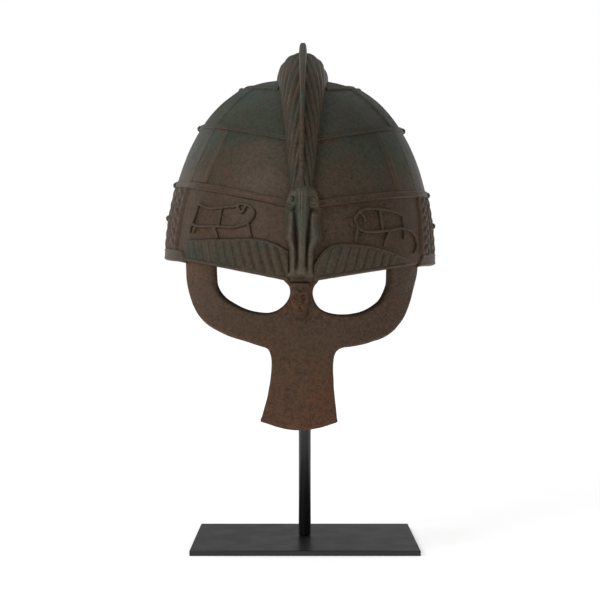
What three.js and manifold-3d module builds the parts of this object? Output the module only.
// A crested iron helmet with a spectacle face guard, held up by a plain black stand.
// Millimetres, +Z up. The helmet faces -Y. Left is -X and right is +X, as seen from its front.
// The origin is the centre of the base plate's underside.

import * as THREE from 'three';
import { mergeVertices } from 'three/addons/utils/BufferGeometryUtils.js';
import Module from 'manifold-3d';

const wasm = await Module();
wasm.setup();

// ---- Driving dimensions ----

const GAP = 0.3; // clearance between neighbouring pieces
const LAID_GAP = 0.4; // clearance under a piece laid on the wall, whose facets dip between corners

const PLATE = { width: 178, depth: 127, height: 4.2 };
const POST = { radius: 5, back: 6, padRadius: 12, padHeight: 3, crownGap: 1.5 };

const BOWL = { halfWidth: 108.8, halfLength: 124, height: 145.5, wall: 3 };
const CROWN_POWER = 1.8; // how flat the crown is
const WALL_POWER = 2.96; // how upright the wall is
// Where the rim's centre sits, how far the right side hangs and how far the crown leans right.
const SEAT = { right: -3.9, back: 6, up: 228.2, sag: 0.02, lean: 0.014 };
const RIM_DIP = 20.3; // how far the rim drops from the sides to the middle of the front
const RIM_RISE = 1.3;

// Each hoop's edges at the sides, its rise to the right, and its share of the rim's dip.
const HOOPS = {
  lower: { low: 54.4, high: 60.2, skew: -2.1, dip: 1, out: 1.8 },
  middle: { low: 105, high: 108, skew: 0.6, dip: 1, out: 1.8 },
  upper: { low: 136.9, high: 139.9, skew: 0.9, dip: 0.5, out: 1.6 },
};
// Where a hoop stops beside the crest, at the front and at the back.
const HOOP_STOPS = { lower: [8, 7], middle: [10, 12], upper: [21, 34] };

const GUARD = { outer: -1, inner: -7, halfAngle: 61, bottom: -130, radius: 109 };
const WALL_RADIUS = 114; // mean radius that turns a length round the wall into an angle

const BROWS = {
  left: {
    side: -1, inner: 13, outer: 105, peakAt: 40, peak: 13, innerDrop: 9, innerPower: 2.2, outerDrop: 0,
  },
  right: {
    side: 1, inner: 14, outer: 86, peakAt: 42, peak: 11, innerDrop: 17, innerPower: 4.2, outerDrop: 11,
  },
};

const BROW = { out: 3.4, aboveRim: 0.5, leastHeight: 1.5, outerPower: 1.8 };

// Strips round the bowl, with angles in degrees from the middle of the front.
const RIM_BAND = { from: 56, to: 306, below: 2, above: 7.5, out: 1.4 };
const EAR_BAND = { from: 60, to: 120, out: 1.2 };
const RIB_OUT = 1.1;
const RIBS = {
  middle_front: { near: 43, far: 57, below: HOOPS.lower, above: HOOPS.middle },
  middle_rear: { near: 123, far: 137, below: HOOPS.lower, above: HOOPS.middle },
  upper_front: { near: 50, far: 68, below: HOOPS.middle, above: HOOPS.upper },
  upper_rear: { near: 112, far: 130, below: HOOPS.middle, above: HOOPS.upper },
};
const STUDS = { radius: 2.5, lower: [85, 132], middle: [85, 146], upper: [85, 130] };

// The crest, with distances along the middle line from the front rim.
const CREST_ROUNDNESS = 0.8;
const MANE = {
  start: 54, end: 400,
  widths: [8, 20.8, 7], // half widths at the front end, the crown and the rear end
  heights: [9, 22, 6],
};
const RIDGE = { start: 58, end: 396, halfWidth: 3, topShare: 0.7, gap: 0.9, heights: [1.5, 7, 1.5] };
const HORSE = { bottom: -17, top: 53, snout: 7.5, brow: 13, snoutHeight: 7, browHeight: 11.5 };
const FACE = { bottom: -46, top: -19.5, halfWidth: 7.4, height: 6, sideways: 0.5 };

const iron = (hex) => new THREE.MeshStandardMaterial({ color: hex, roughness: 0.6, metalness: 0.7 });
const BROWN_IRON = 0x3f352d;
const GREEN_IRON = 0x3a4238;
const RUSTY_IRON = 0x523a2c;
const BLACK_PAINT = 0x1c1c1e;

// ---- The helmet's wall ----

// Share of the full radius that the bowl has at a height above its rim.
function fullness(height) {
  const share = THREE.MathUtils.clamp(height / BOWL.height, 0, 1);
  return (1 - share ** CROWN_POWER) ** (1 / WALL_POWER);
}

// How far a hoop or the rim drops at an angle, measured from the middle of the front.
function dip(degrees) {
  const angle = THREE.MathUtils.degToRad(degrees);
  return Math.cos(angle) > 0 ? -RIM_DIP * (1 - Math.abs(Math.sin(angle))) : 0;
}

const rimHeight = (degrees) => RIM_RISE + dip(degrees);

// The height of a hoop's low or high edge at an angle.
function hoopEdge(hoop, edge, degrees) {
  return hoop[edge] + dip(degrees) * hoop.dip + hoop.skew * Math.sin(THREE.MathUtils.degToRad(degrees));
}

function bareWall(angle, height) {
  const share = fullness(height);
  return new THREE.Vector3(
    BOWL.halfWidth * share * Math.sin(angle),
    -BOWL.halfLength * share * Math.cos(angle),
    height,
  );
}

// A point on the wall, moved out along the wall's own normal.
function wallPoint(angle, height, out) {
  const step = 1e-3;
  const top = Math.min(height, BOWL.height - 2 * step);
  const round = bareWall(angle + step, top).sub(bareWall(angle - step, top));
  const rise = bareWall(angle, top + step).sub(bareWall(angle, top - step));
  const normal = round.cross(rise).normalize();
  return bareWall(angle, height).addScaledVector(normal, out);
}

// From the helmet's own frame, centred on its rim, to the object's frame.
function seat(point) {
  return new THREE.Vector3(
    point.x + SEAT.lean * point.z + SEAT.right,
    point.y + SEAT.back,
    point.z - SEAT.sag * point.x + SEAT.up,
  );
}

// ---- Shaping tools ----

// Moves every corner of a geometry through a function and closes its seams.
function bend(geometry, move) {
  const places = geometry.getAttribute('position');
  for (let i = 0; i < places.count; i += 1) {
    const moved = seat(move(places.getX(i), places.getY(i), places.getZ(i)));
    places.setXYZ(i, moved.x, moved.y, moved.z);
  }
  geometry.deleteAttribute('normal');
  geometry.deleteAttribute('uv');
  return mergeVertices(geometry, 1e-3);
}

function toSolid(geometry) {
  const vertProperties = new Float32Array(geometry.getAttribute('position').array);
  const triVerts = new Uint32Array(geometry.index.array);
  return new wasm.Manifold(new wasm.Mesh({ numProp: 3, vertProperties, triVerts }));
}

function fromSolid(solid) {
  const mesh = solid.getMesh();
  const geometry = new THREE.BufferGeometry();
  geometry.setAttribute('position', new THREE.BufferAttribute(mesh.vertProperties, 3));
  geometry.setIndex(new THREE.BufferAttribute(mesh.triVerts, 1));
  return geometry;
}

const joined = (pieces) => fromSolid(pieces.map(toSolid).reduce((whole, next) => whole.add(next)));

// A strip laid on the wall between two angles and two heights, which may change with the angle.
function strip({ from, to, low, high, inner = LAID_GAP, outer, steps, rows = 1 }) {
  const box = new THREE.BoxGeometry(1, 1, 1, steps, 1, rows);
  return bend(box, (x, y, z) => {
    const degrees = THREE.MathUtils.lerp(from, to, x + 0.5);
    const height = THREE.MathUtils.lerp(low(degrees), high(degrees), z + 0.5);
    return wallPoint(THREE.MathUtils.degToRad(degrees), height, y < 0 ? outer : inner);
  });
}

// A flat outline in millimetres round and up the wall, given a depth and laid on the wall.
function laid(shape, inner, outer, radius) {
  const block = new THREE.ExtrudeGeometry(shape, {
    depth: outer - inner,
    steps: 1,
    bevelEnabled: false,
    curveSegments: 4,
  });
  return bend(block, (x, y, z) => wallPoint(x / radius, y, inner + z));
}

// A small round-headed stud on the wall.
function stud(degrees, height, base) {
  const ball = new THREE.SphereGeometry(1, 6, 4);
  return bend(ball, (x, y, z) => wallPoint(
    THREE.MathUtils.degToRad(degrees) + (x * STUDS.radius) / WALL_RADIUS,
    height + y * STUDS.radius,
    base + STUDS.radius * (z > 0 ? 0.8 * z : -0.2),
  ));
}

const points = (pairs) => pairs.map(([x, y]) => new THREE.Vector2(x, y));

// ---- The middle line, from the front rim over the crown to the back rim ----

const LINE_START = -60; // distance of the line's first point from the front rim

const middleLine = (() => {
  const line = [new THREE.Vector3(0, -BOWL.halfLength, LINE_START)];
  const count = 60;
  for (let i = 0; i <= count; i += 1) {
    const turn = (Math.PI * i) / count;
    const reach = Math.abs(Math.cos(turn)) ** (2 / WALL_POWER) * Math.sign(Math.cos(turn));
    const rise = Math.sin(turn) ** (2 / CROWN_POWER);
    line.push(new THREE.Vector3(0, -BOWL.halfLength * reach, BOWL.height * rise));
  }
  const curve = new THREE.CatmullRomCurve3(line, false, 'centripetal');
  curve.arcLengthDivisions = 800;
  return curve;
})();
const lineLength = middleLine.getLength();

// How far a point lies inside (negative) or outside the bare wall, as a plain share.
function outside(point) {
  const share = Math.hypot(point.x / BOWL.halfWidth, point.y / BOWL.halfLength);
  return point.z <= 0 ? share - 1 : share - fullness(point.z);
}

// A point over the middle line: a distance along it, a distance across and a height off the wall.
function overMiddle(distance, across, out) {
  const share = (distance - LINE_START) / lineLength;
  const tangent = middleLine.getTangentAt(share);
  const normal = new THREE.Vector3(0, -tangent.z, tangent.y);
  const base = middleLine.getPointAt(share).add(new THREE.Vector3(across, 0, 0));
  let near = 0;
  let far = 25;
  for (let i = 0; i < 24; i += 1) {
    const middle = (near + far) / 2;
    if (outside(base.clone().addScaledVector(normal, -middle)) > 0) near = middle;
    else far = middle;
  }
  return base.addScaledVector(normal, out - near);
}

// A long rounded body over the middle line, with its half width and height as functions.
function comb({ start, end, width, height, foot = LAID_GAP, sides, steps }) {
  const body = new THREE.CylinderGeometry(1, 1, 1, sides, steps);
  return bend(body, (x, y, z) => {
    const distance = THREE.MathUtils.lerp(start, end, y + 0.5);
    const across = width(distance) * Math.sign(x) * Math.abs(x) ** CREST_ROUNDNESS;
    const rise = z > 0 ? height(distance) * z ** CREST_ROUNDNESS : 0;
    return overMiddle(distance, across, foot + rise);
  });
}

// ---- Pieces of the stand ----

function standPlate() {
  const box = new THREE.BoxGeometry(PLATE.width, PLATE.depth, PLATE.height);
  return box.translate(0, 0, PLATE.height / 2);
}

function standPost() {
  const foot = PLATE.height + GAP;
  const top = SEAT.up + BOWL.height - BOWL.wall - POST.crownGap;
  const neck = top - POST.padHeight;
  const profile = points([
    [0, foot], [POST.radius, foot], [POST.radius, neck],
    [POST.padRadius, neck], [POST.padRadius, top], [0, top],
  ]);
  return new THREE.LatheGeometry(profile, 24).rotateX(Math.PI / 2).translate(0, POST.back, 0);
}

// ---- Pieces of the helmet ----

function bowl() {
  const rows = 10;
  // One side of the wall from the rim to the crown, as shares of the full width and height.
  const side = (widthShare, heightShare) => Array.from({ length: rows + 1 }, (_, i) => {
    const turn = (Math.PI / 2) * (i / rows);
    const reach = i === rows ? 0 : Math.cos(turn) ** (2 / WALL_POWER);
    return new THREE.Vector2(reach * widthShare, Math.sin(turn) ** (2 / CROWN_POWER) * heightShare);
  });
  const outer = side(1, 1);
  const inner = side(1 - BOWL.wall / BOWL.halfWidth, 1 - BOWL.wall / BOWL.height).reverse();
  const shell = new THREE.LatheGeometry([...outer, ...inner, outer[0].clone()], 40);
  return bend(shell, (x, y, z) => {
    const angle = Math.atan2(x, z);
    const degrees = THREE.MathUtils.radToDeg(angle);
    const share = Math.hypot(x, z);
    const drop = rimHeight(degrees) * (1 - y) ** 4;
    return new THREE.Vector3(
      BOWL.halfWidth * share * Math.sin(angle),
      -BOWL.halfLength * share * Math.cos(angle),
      y * BOWL.height + drop,
    );
  });
}

function rimBand() {
  const { from, to, below, above, out } = RIM_BAND;
  return strip({
    from, to, outer: out, steps: 36,
    low: (degrees) => rimHeight(degrees) - below,
    high: (degrees) => rimHeight(degrees) + above,
  });
}

// Half a hoop with its studs, on the left (side -1) or the right (side 1).
function hoop(name, side, studAngles) {
  const shape = HOOPS[name];
  const [front, rear] = HOOP_STOPS[name];
  const band = strip({
    from: side > 0 ? front : rear - 180, to: side > 0 ? 180 - rear : -front,
    outer: shape.out, steps: 20,
    low: (degrees) => hoopEdge(shape, 'low', degrees),
    high: (degrees) => hoopEdge(shape, 'high', degrees),
  });
  const studs = studAngles.map((angle) => {
    const degrees = side * angle;
    const middle = (hoopEdge(shape, 'low', degrees) + hoopEdge(shape, 'high', degrees)) / 2;
    return stud(degrees, middle, shape.out);
  });
  return joined([band, ...studs]);
}

// An upright strip between two hoops.
function rib(side, { near, far, below, above }) {
  return strip({
    from: Math.min(side * near, side * far), to: Math.max(side * near, side * far),
    outer: RIB_OUT, steps: 2, rows: 4,
    low: (degrees) => hoopEdge(below, 'high', degrees) + GAP,
    high: (degrees) => hoopEdge(above, 'low', degrees) - GAP,
  });
}

function earBand(side) {
  const { from, to, out } = EAR_BAND;
  return strip({
    from: side > 0 ? from : -to, to: side > 0 ? to : -from, outer: out, steps: 10, rows: 4,
    low: (degrees) => rimHeight(degrees) + RIM_BAND.above + GAP,
    high: (degrees) => hoopEdge(HOOPS.lower, 'low', degrees) - GAP,
  });
}

// A brow that rises from its inner end to a peak and falls toward its outer end. Lengths are in
// millimetres round the wall from the middle of the front.
function brow({ side, inner, outer, peakAt, peak, innerDrop, innerPower, outerDrop }) {
  const topEdge = (degrees) => {
    const around = Math.abs(THREE.MathUtils.degToRad(degrees)) * WALL_RADIUS;
    const inward = Math.max(0, (peakAt - around) / (peakAt - inner));
    const outward = Math.max(0, (around - peakAt) / (outer - peakAt));
    return peak - innerDrop * inward ** innerPower - outerDrop * outward ** BROW.outerPower;
  };
  const ends = [inner, outer].map((around) => side * THREE.MathUtils.radToDeg(around / WALL_RADIUS));
  const bottomEdge = (degrees) => rimHeight(degrees) + BROW.aboveRim;
  return strip({
    from: Math.min(...ends), to: Math.max(...ends), outer: BROW.out, steps: 16, rows: 2,
    low: bottomEdge,
    high: (degrees) => Math.max(bottomEdge(degrees) + BROW.leastHeight, topEdge(degrees)),
  });
}

// The outline that an eye opening cuts from the face guard, stretched to the right, or to the left
// where the stretch is negative.
function eyeOpening(stretch) {
  const outline = new THREE.Shape();
  outline.moveTo(stretch * 69.5, 8);
  outline.lineTo(stretch * 69.5, -13);
  outline.splineThru(points([[65, -27], [53, -36], [34, -41], [18, -38.8], [10, -31.5], [7.8, -24.5]]
    .map(([x, y]) => [stretch * x, y])));
  outline.quadraticCurveTo(stretch * 8.5, -18.5, stretch * 15, -16);
  outline.lineTo(stretch * 15, 8);
  return outline;
}

// Everything outside one arm of the face guard and one side of its chin guard.
function outsideArm(mirror, top, shoulder) {
  const outline = new THREE.Shape();
  outline.moveTo(mirror * 135, 10);
  outline.lineTo(mirror * top, 10);
  outline.lineTo(mirror * top, -3);
  outline.splineThru(points([[top - 6, -24], [top - 20, -44], [top - 38, -57.5], [40, -64.2], [shoulder, -67]]
    .map(([x, y]) => [mirror * x, y])));
  outline.splineThru(points([[23, -74], [22.8, -88], [26, -106], [29.5, -121], [31, -140]]
    .map(([x, y]) => [mirror * x, y])));
  outline.lineTo(mirror * 135, -140);
  return outline;
}

function belowChin() {
  const outline = new THREE.Shape();
  outline.moveTo(-60, -116);
  outline.quadraticCurveTo(0, -137, 60, -113);
  outline.lineTo(60, -145);
  outline.lineTo(-60, -145);
  return outline;
}

function faceGuard() {
  const sheet = strip({
    from: -GUARD.halfAngle, to: GUARD.halfAngle, inner: GUARD.inner, outer: GUARD.outer,
    steps: 20, rows: 8,
    low: () => GUARD.bottom,
    high: (degrees) => rimHeight(degrees) - GAP,
  });
  const cutThrough = [GUARD.inner - 19, GUARD.outer + 21];
  const cutters = [
    eyeOpening(1.08), eyeOpening(-1.02), outsideArm(1, 112, 28), outsideArm(-1, 105.7, 25), belowChin(),
  ].map((shape) => toSolid(laid(shape, ...cutThrough, GUARD.radius)));
  return fromSolid(cutters.reduce((whole, cutter) => whole.subtract(cutter), toSolid(sheet)));
}

// ---- The crest, the horse's head and the small face, over the middle line ----

const crownDistance = (lineLength + LINE_START) / 2;

// A value that grows from the crest's front end to the crown and falls to its rear end, given at
// those three places.
function arched(distance, { start, end }, [atStart, atCrown, atEnd]) {
  const rising = distance < crownDistance;
  const share = rising
    ? (distance - start) / (crownDistance - start)
    : (end - distance) / (end - crownDistance);
  const edge = rising ? atStart : atEnd;
  const easeFrom = -0.35; // starts the growth part way up the ease, so the ends aren't flat
  const least = THREE.MathUtils.smoothstep(0, easeFrom, 1);
  const ease = (THREE.MathUtils.smoothstep(share, easeFrom, 1) - least) / (1 - least);
  return edge + (atCrown - edge) * ease;
}

const maneWidth = (distance) => arched(distance, MANE, MANE.widths);
const maneHeight = (distance) => arched(distance, MANE, MANE.heights);

function mane() {
  return comb({
    start: MANE.start, end: MANE.end, width: maneWidth, height: maneHeight, sides: 12, steps: 22,
  });
}

function ridge() {
  const box = new THREE.BoxGeometry(1, 1, 1, 1, 30, 1);
  return bend(box, (x, y, z) => {
    const distance = THREE.MathUtils.lerp(RIDGE.start, RIDGE.end, y + 0.5);
    const rise = arched(distance, RIDGE, RIDGE.heights) * (z + 0.5);
    const taper = z > 0 ? RIDGE.topShare : 1;
    const across = 2 * x * RIDGE.halfWidth * taper;
    return overMiddle(distance, across, maneHeight(distance) + RIDGE.gap + rise);
  });
}

// A rounded boss over the middle line, whose half width and height follow its length.
function boss({ bottom, top, width, height, foot, sideways = 0 }) {
  const ball = new THREE.SphereGeometry(1, 14, 9);
  return bend(ball, (x, y, z) => {
    const share = (y + 1) / 2;
    const ring = Math.sqrt(Math.max(1 - y * y, 1e-6));
    const ends = Math.min(1, ring * 1.6) / ring; // keeps full size until close to the ends
    const across = sideways + x * ends * width(share);
    const rise = Math.max(0, z) * ends * height(share);
    return overMiddle(THREE.MathUtils.lerp(bottom, top, share), across, foot + rise);
  });
}

function horseHead() {
  const { bottom, top, snout, brow: browWidth, snoutHeight, browHeight } = HORSE;
  const widening = 0.55; // share of the length over which the snout widens
  return boss({
    bottom, top, foot: LAID_GAP,
    width: (share) => snout + (browWidth - snout) * THREE.MathUtils.smoothstep(share, 0, widening),
    height: (share) => THREE.MathUtils.lerp(snoutHeight, browHeight, share),
  });
}

function nasalFace() {
  const { bottom, top, halfWidth, height, sideways } = FACE;
  return boss({
    bottom, top, sideways, foot: GUARD.outer + GAP,
    width: () => halfWidth,
    height: () => height,
  });
}

// ---- The raised beasts: lines of round bar laid on the wall ----

const BEAST_LINES = [
  [[-33, 1], [-20, 3], [-8, -1], [6, -1], [16, 2], [22, 1]], // back
  [[22, 1], [27, -4], [24, -9]], // head
  [[-38, -12], [-27, -14], [-8, -15], [7, -15.5], [22, -12.5]], // belly
  [[-6, -1], [-7, -15]], // girth
  [[-33, 0], [-37, -12]], // rump
  [[-37, -12], [-39, -19]], // hind leg
  [[-10, -15], [-5, -23]], // middle leg
  [[23, -8.5], [24, -22]], // fore leg
];
const BEAST = { bar: 1.4, barSides: 5, lift: 1.9, left: [-63, 37.5], right: [72, 36.5] };

function beast(side) {
  const [around, height] = side > 0 ? BEAST.right : BEAST.left;
  const ring = new THREE.Shape(points(Array.from({ length: BEAST.barSides }, (_, i) => {
    const turn = (2 * Math.PI * i) / BEAST.barSides;
    return [BEAST.bar * Math.cos(turn), BEAST.bar * Math.sin(turn)];
  })));
  const bars = BEAST_LINES.map((line) => {
    const path = new THREE.CatmullRomCurve3(
      line.map(([x, z]) => new THREE.Vector3(around - side * x, -BEAST.lift, height + z)),
    );
    const bar = new THREE.ExtrudeGeometry(ring, { steps: 2 * line.length - 1, extrudePath: path });
    return bend(bar, (x, y, z) => wallPoint(x / WALL_RADIUS, z, -y));
  });
  return joined(bars);
}

// ---- Assembly ----

const helmet = new THREE.Group();

function add(name, geometry, hex) {
  geometry.computeVertexNormals();
  const mesh = new THREE.Mesh(geometry, iron(hex));
  mesh.name = name;
  helmet.add(mesh);
}

add('stand_plate', standPlate(), BLACK_PAINT);
add('stand_post', standPost(), BLACK_PAINT);
add('bowl', bowl(), BROWN_IRON);
add('rim_band', rimBand(), BROWN_IRON);
add('face_guard', faceGuard(), RUSTY_IRON);
add('crest_mane', mane(), BROWN_IRON);
add('crest_ridge', ridge(), BROWN_IRON);
add('horse_head', horseHead(), GREEN_IRON);
add('nasal_face', nasalFace(), RUSTY_IRON);
add('brow_left', brow(BROWS.left), GREEN_IRON);
add('brow_right', brow(BROWS.right), GREEN_IRON);

for (const [word, side] of [['left', -1], ['right', 1]]) {
  for (const name of ['lower', 'middle', 'upper']) {
    add(`hoop_${name}_${word}`, hoop(name, side, STUDS[name]), BROWN_IRON);
  }
  add(`ear_band_${word}`, earBand(side), BROWN_IRON);
  add(`beast_${word}`, beast(side), GREEN_IRON);
  for (const [name, shape] of Object.entries(RIBS)) {
    add(`rib_${name}_${word}`, rib(side, shape), BROWN_IRON);
  }
}

export default helmet;
